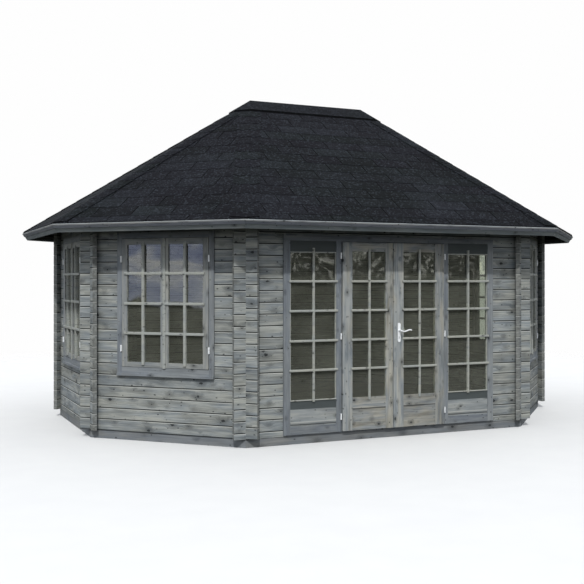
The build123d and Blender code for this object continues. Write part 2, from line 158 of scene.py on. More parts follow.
def tube_faces(copies: int, around: int, along: int) -> np.ndarray:
    """Number the quads of closed tubes: rings of corners joined one to the next, with the two ends filled.

    Args:
        copies: how many equal tubes follow one another in the corner list.
        around: corners in a ring, an even number; the rings run anticlockwise seen from the tube's start.
        along: rings in each tube.

    Returns:
        Corner numbers, four a row.
    """
    ring, step = np.meshgrid(np.arange(along - 1), np.arange(around), indexing="ij")
    following = (step + 1) % around
    side = np.stack([ring * around + step, (ring + 1) * around + step,
                     (ring + 1) * around + following, ring * around + following], -1).reshape(-1, 4)
    pairs = np.arange(around // 2 - 1)
    first = np.stack([pairs, pairs + 1, around - 2 - pairs, around - 1 - pairs], -1)
    last = first[:, ::-1] + (along - 1) * around
    one = np.concatenate([side, first, last])
    return (one[None] + (np.arange(copies) * around * along)[:, None, None]).reshape(-1, 4)


class Side(Enum):
    """The eight log walls in order, anticlockwise from above, from the front."""

    FRONT = 0
    FRONT_RIGHT = 1
    RIGHT_END = 2
    BACK_RIGHT = 3
    BACK = 4
    BACK_LEFT = 5
    LEFT_END = 6
    FRONT_LEFT = 7

    @property
    def label(self) -> str:
        """The wall's name as the pieces spell it."""
        return self.name.lower()


@dataclass(frozen=True)
class Outline:
    """The plan of the walls: an octagon whose front and back are longer than its other six sides."""

    long_side: float = 3.25
    short_side: float = 1.745
    corner: float = math.radians(45)

    def length(self, side: Side) -> float:
        """Length of the wall's outer face between its corners."""
        return self.long_side if side in (Side.FRONT, Side.BACK) else self.short_side

    def heading(self, side: Side) -> float:
        """Direction of the wall in plan, anticlockwise from +X."""
        return side.value * self.corner

    def start(self, side: Side) -> np.ndarray:
        """Corner where the wall starts: the lengths of the walls before it, each turned to its heading.

        Args:
            side: the wall.

        Returns:
            The corner's x and y.
        """
        depth = self.short_side / 2 + self.short_side * math.sin(self.corner)
        place = np.array([-self.long_side / 2, -depth])
        for before in list(Side)[:side.value]:
            angle = self.heading(before)
            place = place + self.length(before) * np.array([math.cos(angle), math.sin(angle)])
        return place

    def place(self, side: Side, along: np.ndarray, inward: np.ndarray, up: np.ndarray) -> np.ndarray:
        """Turn places on a wall into points of the model.

        Args:
            side: the wall.
            along: distance from the wall's start along its outer face.
            inward: distance from the outer face into the room.
            up: height over the ground.

        Returns:
            Points, with x, y and z in the last axis.
        """
        angle, (x, y) = self.heading(side), self.start(side)
        along, inward, up = np.broadcast_arrays(along, inward, up)
        return np.stack([x + along * math.cos(angle) - inward * math.sin(angle),
                         y + along * math.sin(angle) + inward * math.cos(angle), up], -1)


OUTLINE = Outline()
WINDOW_SIDES = (Side.FRONT_RIGHT, Side.RIGHT_END, Side.LEFT_END, Side.FRONT_LEFT)
# Edges that turn by more than this stay sharp.
SHARP = math.radians(40)


@dataclass(frozen=True)
class Grain:
    """Softwood under a grey glaze: streaks along the board, fine pores, clouds, and knots with swirled grain.

    The streaks are 15 to 20 mm wide and the fine pores 2 to 3 mm, as coarse as they need to show. The three
    patterns' scales are repeats in a metre along, across and into the board.
    """

    dark: str = "565d60"
    middle: str = "858b8b"
    light: str = "afb2ad"
    cool: str = "7d858d"
    warm: str = "929187"
    knot: str = "26292b"
    knot_spacing: float = 0.27
    board: float = 0.114
    knot_radius: float = 0.023
    sameness: float = 0.26
    spread: float = 0.13
    streaks: tuple[float, float, float] = (2.3, 58.0, 25.0)
    pores: tuple[float, float, float] = (9.0, 360.0, 360.0)
    clouds: tuple[float, float, float] = (3.2, 15.0, 6.0)

    def knots(self, tree: NodeTree, place: NodeSocket, spacing: float, rise: float,
              radius: float) -> NodeSocket:
        """Scatter knots over the board, one to a cell at most; about half of the cells stay clear.

        Args:
            tree: the material's node tree.
            place: metres along and across the board.
            spacing: length of a cell along the board.
            rise: height of a cell across the board.
            radius: radius of the largest knot.

        Returns:
            Distance from the edge of the nearest knot, less than 0 inside it.
        """
        cells = add(tree, "VectorMath MULTIPLY", [place, (1 / spacing, 1 / rise, 0.0)])[0]
        cell = add(tree, "TexVoronoi", {"Vector": cells, "Scale": 1.0, "Randomness": 0.95},
                   voronoi_dimensions="2D")
        apart = add(tree, "VectorMath SUBTRACT", [cells, cell["Position"]])[0]
        real = add(tree, "VectorMath MULTIPLY", [apart, (spacing * 0.62, rise, 0.0)])[0]
        far = add(tree, "VectorMath LENGTH", [real])["Value"]
        size = add(tree, "SeparateColor", [cell["Color"]])[0]
        edge = add(tree, "Math MULTIPLY_ADD", [size, radius * 1.6, -radius * 0.6])[0]
        rough = add(tree, "TexNoise", {"Vector": place, "Scale": 70.0, "Detail": 3.0})[0]
        ragged = add(tree, "Math MULTIPLY_ADD", [rough, radius * 0.9, far])[0]
        return add(tree, "Math SUBTRACT", [ragged, edge])[0]

    def lay(self, tree: NodeTree, place: NodeSocket, number: NodeSocket) -> tuple[NodeSocket, NodeSocket]:
        """Colour and height of the wood.

        Args:
            tree: the material's node tree.
            place: metres along, across and into the board.
            number: the board's own number, which its random tone and the place of its knots come from.

        Returns:
            The colour, and the ridges' height as a share of their depth.
        """
        chance = add(tree, "TexWhiteNoise", {"W": number}, noise_dimensions="1D")["Color"]
        moved = add(tree, "VectorMath MULTIPLY_ADD", [chance, (17.0, 0.0, 5.0), place])[0]
        gap = self.knots(tree, moved, self.knot_spacing, self.board, self.knot_radius)
        pin = self.knots(tree, moved, self.knot_spacing * 0.43, self.board * 0.5, self.knot_radius * 0.36)
        heart = add(tree, "MapRange SMOOTHSTEP", [gap, 0.005, 0.0, 0.0, 0.95])[0]
        halo = add(tree, "MapRange SMOOTHSTEP", [gap, self.knot_radius * 2.2, 0.003])[0]
        dot = add(tree, "MapRange SMOOTHSTEP", [pin, 0.005, 0.0, 0.0, 0.8])[0]
        bent = add(tree, "CombineXYZ", {"Y": halo})[0]
        stretched = add(tree, "VectorMath MULTIPLY", [moved, self.streaks])[0]
        swirl = add(tree, "VectorMath MULTIPLY_ADD", [bent, (0.0, 2.6, 0.0), stretched])[0]
        streak = add(tree, "TexNoise", {"Vector": swirl, "Scale": 1.0, "Detail": 5.0, "Roughness": 0.66,
                                        "Distortion": 0.7})[0]
        thin = add(tree, "VectorMath MULTIPLY", [moved, self.pores])[0]
        pores = add(tree, "TexNoise", {"Vector": thin, "Scale": 1.0, "Detail": 2.0})[0]
        wide = add(tree, "VectorMath MULTIPLY", [moved, self.clouds])[0]
        clouds = add(tree, "TexNoise", {"Vector": wide, "Scale": 1.0, "Detail": 3.0, "Distortion": 0.4})
        height = add(tree, "Math MULTIPLY_ADD", [pores, 0.28, streak])[0]
        level = add(tree, "Math MULTIPLY_ADD", [clouds[0], 0.8, height])[0]
        tone = add(tree, "MapRange", [level, 1.04 - self.sameness, 1.04 + self.sameness])[0]
        wood = add(tree, "ValToRGB", [tone],
                   ramp=[(0.08, self.dark), (0.5, self.middle), (0.92, self.light)])[0]
        split = add(tree, "SeparateColor", [chance])
        drift = add(tree, "SeparateColor", [clouds["Color"]])[2]
        hue = add(tree, "Math MULTIPLY_ADD", [split[1], 0.22, drift])[0]
        lean = add(tree, "MapRange SMOOTHSTEP", [hue, 0.42, 0.8])[0]
        tint = add(tree, "Mix RGBA", {0: lean, 6: self.cool, 7: self.warm})[2]
        tinted = add(tree, "Mix RGBA", {0: 0.38, 6: wood, 7: tint})[2]
        shade = add(tree, "MapRange", [split[2], 0.0, 1.0, 1 - self.spread, 1 + self.spread])[0]
        toned = add(tree, "VectorMath SCALE", {0: tinted, "Scale": shade})[0]
        ring = add(tree, "Math MULTIPLY", [halo, streak])[0]
        stain = add(tree, "Math MULTIPLY", [ring, 0.8])[0]
        dark = add(tree, "Math MAXIMUM", [heart, dot])[0]
        deepest = add(tree, "Math MAXIMUM", [dark, stain])[0]
        colour = add(tree, "Mix RGBA", {0: deepest, 6: toned, 7: self.knot})[2]
        return colour, height


def glazed(tree: NodeTree, colour: NodeSocket, height: NodeSocket, ridges: float, matt: float) -> NodeSocket:
    """End a finish on wood: a dull glaze over fine ridges.

    Args:
        tree: the material's node tree.
        colour: the surface's colour.
        height: the ridges' height as a share of their depth.
        ridges: how deep the ridges are, in metres.
        matt: how rough the glaze is.

    Returns:
        The surface's shader.
    """
    bump = add(tree, "Bump", {"Height": height, "Distance": ridges, "Strength": 0.8})[0]
    return add(tree, "BsdfPrincipled", {"Base Color": colour, "Roughness": matt, "IOR": 1.45,
                                        "Specular IOR Level": 0.35, "Normal": bump})[0]


def joint_lines(tree: NodeTree, colour: NodeSocket, course: NodeSocket,
                halves: Sequence[float], share: float | NodeSocket, dark: str) -> NodeSocket:
    """Draw a dark line at every joint between boards.

    Args:
        tree: the material's node tree.
        colour: the boards' colour.
        course: the place across the boards, counted in boards.
        halves: half the line's width with its soft edge and half its full width, counted in boards.
        share: how much of the line covers the boards.
        dark: the line's colour.

    Returns:
        The colour with the lines.
    """
    near = add(tree, "Math PINGPONG", [course, 0.5])[0]
    line = add(tree, "MapRange SMOOTHSTEP", [near, *halves, 0.0, share])[0]
    return add(tree, "Mix RGBA", {0: line, 6: colour, 7: dark})[2]


class Finish:
    """What all finishes share: each lays its own nodes, which end in one surface."""

    def surface(self, tree: NodeTree) -> NodeSocket:
        """Lay the finish's nodes; each finish has its own."""
        raise NotImplementedError

    def material(self, name: str) -> Material:
        """Make a material of the finish.

        Args:
            name: the material's name.

        Returns:
            The material.
        """
        made = bpy.data.materials.new(name)
        made.use_nodes = True
        made.node_tree.nodes.clear()
        add(made.node_tree, "OutputMaterial", {"Surface": self.surface(made.node_tree)})
        return made


@dataclass(frozen=True)
class LogTimber(Finish):
    """Planed spruce logs under a grey glaze, tongued together; joints are dark and sawn ends show rings."""

    heading: float
    joint: float
    seed: float
    pitch: float = 0.114
    grain: Grain = Grain()
    # groove: the joints' dark line, dirt and painted shadow; edge: the bevel's pale line, a painted
    # highlight.
    groove: str = "1c1f20"
    edge: str = "cfd1cb"
    sawn: str = "7a7c79"
    shadow: float = 0.003
    line: tuple[float, float] = (0.0068, 0.0042)
    bevel: tuple[float, float] = (0.011, 0.006)
    ridges: float = 0.0016
    matt: float = 0.72

    def surface(self, tree: NodeTree) -> NodeSocket:
        """Logs that run along one wall, each with its own tone, knots and streaks.

        Args:
            tree: the material's node tree.

        Returns:
            The surface's shader.
        """
        coords = add(tree, "TexCoord")
        turn = {"Rotation": (0.0, 0.0, -self.heading)}
        place = add(tree, "Mapping", {"Vector": coords["Object"], **turn})[0]
        facing = add(tree, "Mapping", {"Vector": coords["Normal"], **turn})[0]
        axes = add(tree, "SeparateXYZ", [place])
        per = 1 / self.pitch
        course = add(tree, "Math MULTIPLY_ADD", [axes[2], per, -self.joint * per])[0]
        number = add(tree, "Math FLOOR", [course])[0]
        within = add(tree, "Math SUBTRACT", [course, number])[0]
        key = add(tree, "Math ADD", [number, self.seed])[0]
        rise = add(tree, "Math MULTIPLY_ADD", [number, self.pitch * 6, axes[2]])[0]
        board = add(tree, "CombineXYZ", {"X": axes[0], "Y": rise, "Z": axes[1]})[0]
        colour, height = self.grain.lay(tree, board, key)
        # Sawn ends: rings round a heart a little under the log's middle, darker than the faces.
        middle = add(tree, "Math MULTIPLY_ADD", [within, self.pitch, -self.pitch * 0.35])[0]
        ring_place = add(tree, "CombineXYZ", {"X": middle, "Y": axes[1]})[0]
        ring_noise = add(tree, "TexNoise", {"Vector": ring_place, "Scale": 30.0, "Detail": 3.0})[0]
        rings = add(tree, "MapRange", [ring_noise, 0.35, 0.65, 0.66, 1.02])[0]
        even = add(tree, "Mix RGBA", {0: 0.6, 6: colour, 7: self.sawn})[2]
        sawn = add(tree, "VectorMath SCALE", {0: even, "Scale": rings})[0]
        turned = add(tree, "SeparateXYZ", [facing])[0]
        ending = add(tree, "Math ABSOLUTE", [turned])[0]
        is_end = add(tree, "Math GREATER_THAN", [ending, 0.9])[0]
        faced = add(tree, "Mix RGBA", {0: is_end, 6: colour, 7: sawn})[2]
        # The joint: a dark line over it, partly dirt kept in the groove and partly painted shadow.
        # Under the joint the bevel is drawn pale: a painted highlight where it catches the light.
        reach, core = [1 - width * per for width in self.bevel]
        lightened = add(tree, "MapRange SMOOTHSTEP", [within, reach, core, 0.0, 0.42])[0]
        edged = add(tree, "Mix RGBA", {0: lightened, 6: faced, 7: self.edge})[2]
        over = add(tree, "Math ADD", [course, -self.shadow * per])[0]
        depth = add(tree, "MapRange", [is_end, 0.0, 1.0, 0.9, 0.35])[0]
        lined = joint_lines(tree, edged, over, [half * per for half in self.line], depth, self.groove)
        return glazed(tree, lined, height, self.ridges, self.matt)


@dataclass(frozen=True)
class JoineryTimber(Finish):
    """Planed and glazed pine joinery: grain upright in stiles and jambs, and level in the rails between them.

    A frame's openings lie at equal distances, the fold, from its centre line, and each is two halves wide.
    The numbers below stand for joinery that is level all over and has no head, quirk or arris.
    """

    heading: float = 0.0
    centre: float = 0.0
    fold: float = 0.0
    half: float = 50.0
    seed: float = 0.0
    head: float = 99.0
    quirk: float = -1.0
    arris: float = -1.0
    grain: Grain = Grain(dark="5c6264", middle="868a8a", light="a3a49f", cool="7e848a", warm="94938a",
                         knot_spacing=0.36, board=0.09, knot_radius=0.015, sameness=0.3, spread=0.1)
    # quirk_line: a painted shadow line; arris_line: a painted highlight; each gives its widths, share and
    # colour.
    quirk_line: tuple[float, float, float, str] = (0.006, 0.003, 0.75, "1e2122")
    arris_line: tuple[float, float, float, str] = (0.009, 0.004, 0.6, "c6c8c4")
    ridges: float = 0.0009
    matt: float = 0.6

    def surface(self, tree: NodeTree) -> NodeSocket:
        """Joinery whose rails lie within the openings' width, and over the height of the head.

        Args:
            tree: the material's node tree.

        Returns:
            The surface's shader.
        """
        coords = add(tree, "TexCoord")
        place = add(tree, "Mapping", {"Vector": coords["Object"], "Rotation": (0.0, 0.0, -self.heading)})[0]
        axes = add(tree, "SeparateXYZ", [place])
        offset = add(tree, "Math SUBTRACT", [axes[0], self.centre])[0]
        apart = add(tree, "Math ABSOLUTE", [offset])[0]
        folded = add(tree, "Math SUBTRACT", [apart, self.fold])[0]
        off_middle = add(tree, "Math ABSOLUTE", [folded])[0]
        beside = add(tree, "Math GREATER_THAN", [off_middle, self.half])[0]
        below = add(tree, "Math LESS_THAN", [axes[2], self.head])[0]
        upright = add(tree, "Math MULTIPLY", [beside, below])[0]
        level = add(tree, "CombineXYZ", {"X": axes[0], "Y": axes[2], "Z": axes[1]})[0]
        stood = add(tree, "CombineXYZ", {"X": axes[2], "Y": axes[0], "Z": axes[1]})[0]
        board = add(tree, "Mix VECTOR", {0: upright, 4: level, 5: stood})[1]
        side = add(tree, "Math SIGN", [offset])[0]
        outer = add(tree, "Math SIGN", [folded])[0]
        post = add(tree, "Math MULTIPLY_ADD", [outer, 2.5, side])[0]
        key = add(tree, "Math MULTIPLY_ADD", [upright, post, self.seed])[0]
        colour, height = self.grain.lay(tree, board, key)
        # The quirk is a painted shadow line where a rail's lower edge meets the panel under it. The arris,
        # the raised panel's upper edge, is a painted highlight.
        between = add(tree, "Math SUBTRACT", [1.0, upright])[0]
        for rise, line in ((self.quirk, self.quirk_line), (self.arris, self.arris_line)):
            reach, core, share, code = line
            off = add(tree, "Math SUBTRACT", [axes[2], rise])[0]
            near = add(tree, "Math ABSOLUTE", [off])[0]
            shown = add(tree, "MapRange SMOOTHSTEP", [near, reach, core, 0.0, share])[0]
            drawn = add(tree, "Math MULTIPLY", [shown, between])[0]
            colour = add(tree, "Mix RGBA", {0: drawn, 6: colour, 7: code})[2]
        return glazed(tree, colour, height, self.ridges, self.matt)


@dataclass(frozen=True)
class BeamTimber(Finish):
    """Sawn or planed boards that run round the building, with the grain along each face's level direction."""

    seed: float
    grain: Grain
    board_height: float = 0.0
    joint: str = "1c1e1f"
    ridges: float = 0.001
    matt: float = 0.78

    def surface(self, tree: NodeTree) -> NodeSocket:
        """Boards whose length is worked out from the face: level, at right angles to where it looks.

        Args:
            tree: the material's node tree.

        Returns:
            The surface's shader.
        """
        coords = add(tree, "TexCoord")
        level = add(tree, "VectorMath CROSS_PRODUCT", [(0.0, 0.0, 1.0), coords["Normal"]])[0]
        run = add(tree, "VectorMath NORMALIZE", [level])[0]
        along = add(tree, "VectorMath DOT_PRODUCT", [coords["Object"], run])["Value"]
        axes = add(tree, "SeparateXYZ", [coords["Object"]])
        side = add(tree, "VectorMath DOT_PRODUCT", [run, (3.0, 7.0, 0.0)])["Value"]
        board = add(tree, "CombineXYZ", {"X": along, "Y": axes[2], "Z": side})[0]
        whole = add(tree, "Math ROUND", [side])[0]
        if self.board_height:
            course = add(tree, "Math DIVIDE", [axes[2], self.board_height])[0]
            number = add(tree, "Math FLOOR", [course])[0]
            whole = add(tree, "Math MULTIPLY_ADD", [number, 31.0, whole])[0]
        key = add(tree, "Math ADD", [whole, self.seed])[0]
        colour, height = self.grain.lay(tree, board, key)
        if self.board_height:
            colour = joint_lines(tree, colour, course, (0.06, 0.03), 0.9, self.joint)
        return glazed(tree, colour, height, self.ridges, self.matt)


@dataclass(frozen=True)
class FloorPlanks(Finish):
    """Planed floorboards 95 mm wide that run the length of the room, with a fine gap between them."""

    width: float = 0.095
    gap: str = "2b2a26"
    grain: Grain = Grain(dark="7a7262", middle="8f8776", light="a39b88", cool="857f72", warm="968a72")
    ridges: float = 0.0008
    matt: float = 0.5

    def surface(self, tree: NodeTree) -> NodeSocket:
        """Boards numbered from front to back, each with its own tone.

        Args:
            tree: the material's node tree.

        Returns:
            The surface's shader.
        """
        coords = add(tree, "TexCoord")
        axes = add(tree, "SeparateXYZ", [coords["Object"]])
        row = add(tree, "Math DIVIDE", [axes[1], self.width])[0]
        number = add(tree, "Math FLOOR", [row])[0]
        colour, height = self.grain.lay(tree, coords["Object"], number)
        lined = joint_lines(tree, colour, row, (0.035, 0.015), 1.0, self.gap)
        return glazed(tree, lined, height, self.ridges, self.matt)


@dataclass(frozen=True)
class StoneFacedFelt(Finish):
    """Bitumen felt shingles pressed with slate granules: matt, speckled, each tab a little lighter or bluer.

    The granules are 1 to 2 mm; they are drawn as clusters of 15 mm, because single ones are too fine to show.
    With tabs, the mesh carries the numbers "tone", "tint" and "rim"; without them, the cut edges are upright.
    Edges are drawn near black: partly the felt's own dark cut edge, partly painted shade.
    """

    deep: str = "040506"
    shade: str = "0e1113"
    pale: str = "23272c"
    violet: str = "14131a"
    green: str = "101515"
    glint: str = "393e45"
    edge: str = "030404"
    grit: float = 0.015
    tabs: bool = True

    def surface(self, tree: NodeTree) -> NodeSocket:
        """Felt whose tone comes from the tabs' own numbers, or from broad patches where there are no tabs.

        Args:
            tree: the material's node tree.

        Returns:
            The surface's shader.
        """
        coords = add(tree, "TexCoord")
        place = coords["Object"]
        patch = add(tree, "TexNoise", {"Vector": place, "Scale": 1.9, "Detail": 3.0})[0]
        drift = add(tree, "TexNoise", {"Vector": place, "Scale": 0.9, "Detail": 2.0})[0]
        speck = add(tree, "TexNoise", {"Vector": place, "Scale": 1 / self.grit, "Detail": 2.0,
                                       "Roughness": 0.7})[0]
        cell = add(tree, "TexVoronoi", {"Vector": place, "Scale": 1 / self.grit})
        glint = add(tree, "SeparateColor", [cell["Color"]])[0]
        if self.tabs:
            names = ("tone", "tint", "rim")
            tone, tint, rim = [add(tree, "Attribute", attribute_name=name)["Fac"] for name in names]
            patch = add(tree, "Math MULTIPLY_ADD", [tone, 0.62, patch])[0]
            patch = add(tree, "Math SUBTRACT", [patch, 0.31])[0]
            drift = add(tree, "Math MULTIPLY_ADD", [tint, 0.7, drift])[0]
            drift = add(tree, "Math SUBTRACT", [drift, 0.35])[0]
        level = add(tree, "Math MULTIPLY_ADD", [speck, 1.7, patch])[0]
        fine = add(tree, "MapRange", [level, 0.85, 1.85])[0]
        felt = add(tree, "ValToRGB", [fine], ramp=[(0.1, self.deep), (0.5, self.shade), (0.95, self.pale)])[0]
        lean = add(tree, "MapRange", [drift, 0.38, 0.62])[0]
        hue = add(tree, "Mix RGBA", {0: lean, 6: self.green, 7: self.violet})[2]
        mixed = add(tree, "Mix RGBA", {0: 0.4, 6: felt, 7: hue})[2]
        lit = add(tree, "MapRange SMOOTHSTEP", [glint, 0.72, 1.0, 0.0, 0.5])[0]
        sparkling = add(tree, "Mix RGBA", {0: lit, 6: mixed, 7: self.glint})[2]
        # Cut edges and the felt beside them are darkened, partly the felt's dark core and partly painted
        # shade; without tabs, every face not turned up.
        if not self.tabs:
            normal = add(tree, "SeparateXYZ", [coords["Normal"]])[2]
            rim = add(tree, "Math LESS_THAN", [normal, 0.35])[0]
        dark = add(tree, "Math MULTIPLY", [rim, 0.75])[0]
        colour = add(tree, "Mix RGBA", {0: dark, 6: sparkling, 7: self.edge})[2]
        bump = add(tree, "Bump", {"Height": speck, "Distance": 0.003, "Strength": 0.7})[0]
        return add(tree, "BsdfPrincipled", {"Base Color": colour, "Roughness": 0.95, "IOR": 1.5,
                                            "Specular IOR Level": 0.1, "Normal": bump})[0]


@dataclass(frozen=True)
class FloatGlass(Finish):
    """Float glass in sealed double panes: a faint olive cast, slow waves that bend reflections, and dust."""

    cast: str = "dcdfd6"
    dust: str = "c9cbc0"
    film: float = 0.05
    bend: float = 0.0025

    def surface(self, tree: NodeTree) -> NodeSocket:
        """Glass that reflects like two panes, so its IOR is over the 1.52 of one; the sun goes through it.

        Args:
            tree: the material's node tree.

        Returns:
            The surface's shader.
        """
        place = add(tree, "TexCoord")["Object"]
        wave = add(tree, "TexNoise", {"Vector": place, "Scale": 2.2, "Detail": 1.0})[0]
        bump = add(tree, "Bump", {"Height": wave, "Distance": self.bend, "Strength": 1.0})[0]
        panes = add(tree, "BsdfPrincipled", {"Base Color": self.cast, "Roughness": 0.0, "IOR": 1.7,
                                             "Transmission Weight": 1.0, "Normal": bump})[0]
        # A film of dust, thicker in clouds 0.3 m across, lies over the pane and catches the sun.
        settled = add(tree, "TexNoise", {"Vector": place, "Scale": 3.5, "Detail": 4.0})[0]
        cover = add(tree, "MapRange", [settled, 0.3, 0.7, self.film * 0.7, self.film * 1.3])[0]
        dust = add(tree, "BsdfDiffuse", {"Color": self.dust})[0]
        dusty = add(tree, "MixShader", [cover, panes, dust])[0]
        clear = add(tree, "BsdfTransparent", {"Color": self.cast})[0]
        shadow = add(tree, "LightPath")["Is Shadow Ray"]
        return add(tree, "MixShader", [shadow, dusty, clear])[0]


@dataclass(frozen=True)
class CoatedSteel(Finish):
    """Barrel hinges of steel under white coat: bright and smooth, with faint grey clouds of dust."""

    white: str = "f4f6f8"
    dust: str = "dfe3e7"
    arm_shade: str = "5d6264"
    barrel: float = 0.0
    radius: float = 99.0

    def surface(self, tree: NodeTree) -> NodeSocket:
        """White coat with 12 mm clouds of dust, rougher where it is dusty; the arms beside the barrel are
        drawn dark grey, a painted shade.

        Args:
            tree: the material's node tree.

        Returns:
            The surface's shader.
        """
        place = add(tree, "TexCoord")["Object"]
        cloud = add(tree, "TexNoise", {"Vector": place, "Scale": 80.0, "Detail": 3.0})[0]
        colour = add(tree, "Mix RGBA", {0: cloud, 6: self.dust, 7: self.white})[2]
        rough = add(tree, "MapRange", [cloud, 0.0, 1.0, 0.28, 0.45])[0]
        across = add(tree, "SeparateXYZ", [place])[0]
        apart = add(tree, "Math ABSOLUTE", [across])[0]
        beside = add(tree, "Math SUBTRACT", [apart, self.barrel])[0]
        # Past the barrel's radius the arms take the dark grey: painted shade.
        is_arm = add(tree, "Math COMPARE", [beside, 0.0, self.radius])[0]
        coat = add(tree, "Mix RGBA", {0: is_arm, 6: self.arm_shade, 7: colour})[2]
        return add(tree, "BsdfPrincipled", {"Base Color": coat, "Roughness": rough, "IOR": 1.5})[0]


@dataclass(frozen=True)
class PowderCoatedAluminium(Finish):
    """Cast aluminium door furniture under white powder coat: soft gloss with a faint orange-peel ripple."""

    white: str = "f7f9fb"
    shade: str = "eaeef2"

    def surface(self, tree: NodeTree) -> NodeSocket:
        """White coat with a ripple 2 mm across.

        Args:
            tree: the material's node tree.

        Returns:
            The surface's shader.
        """
        place = add(tree, "TexCoord")["Object"]
        peel = add(tree, "TexNoise", {"Vector": place, "Scale": 450.0, "Detail": 1.0})[0]
        dust = add(tree, "TexNoise", {"Vector": place, "Scale": 35.0, "Detail": 3.0})[0]
        colour = add(tree, "Mix RGBA", {0: dust, 6: self.shade, 7: self.white})[2]
        bump = add(tree, "Bump", {"Height": peel, "Distance": 0.0002, "Strength": 0.5})[0]
        return add(tree, "BsdfPrincipled", {"Base Color": colour, "Roughness": 0.34, "IOR": 1.5,
                                            "Normal": bump})[0]


@dataclass(frozen=True)
class PaintedBoard(Finish):
    """Fibre board under dark grey paint, which fills the side lights over and under their glass."""

    paint: str = "424849"
    lightened: str = "4f5657"
    ridges: float = 0.0005
    matt: float = 0.6

    def surface(self, tree: NodeTree) -> NodeSocket:
        """Matt paint with rolled streaks and faint dust.

        Args:
            tree: the material's node tree.

        Returns:
            The surface's shader.
        """
        place = add(tree, "TexCoord")["Object"]
        rolled = add(tree, "Mapping", {"Vector": place, "Scale": (4.0, 40.0, 30.0)})[0]
        streak = add(tree, "TexNoise", {"Vector": rolled, "Scale": 1.0, "Detail": 4.0})[0]
        colour = add(tree, "Mix RGBA", {0: streak, 6: self.paint, 7: self.lightened})[2]
        return glazed(tree, colour, streak, self.ridges, self.matt)


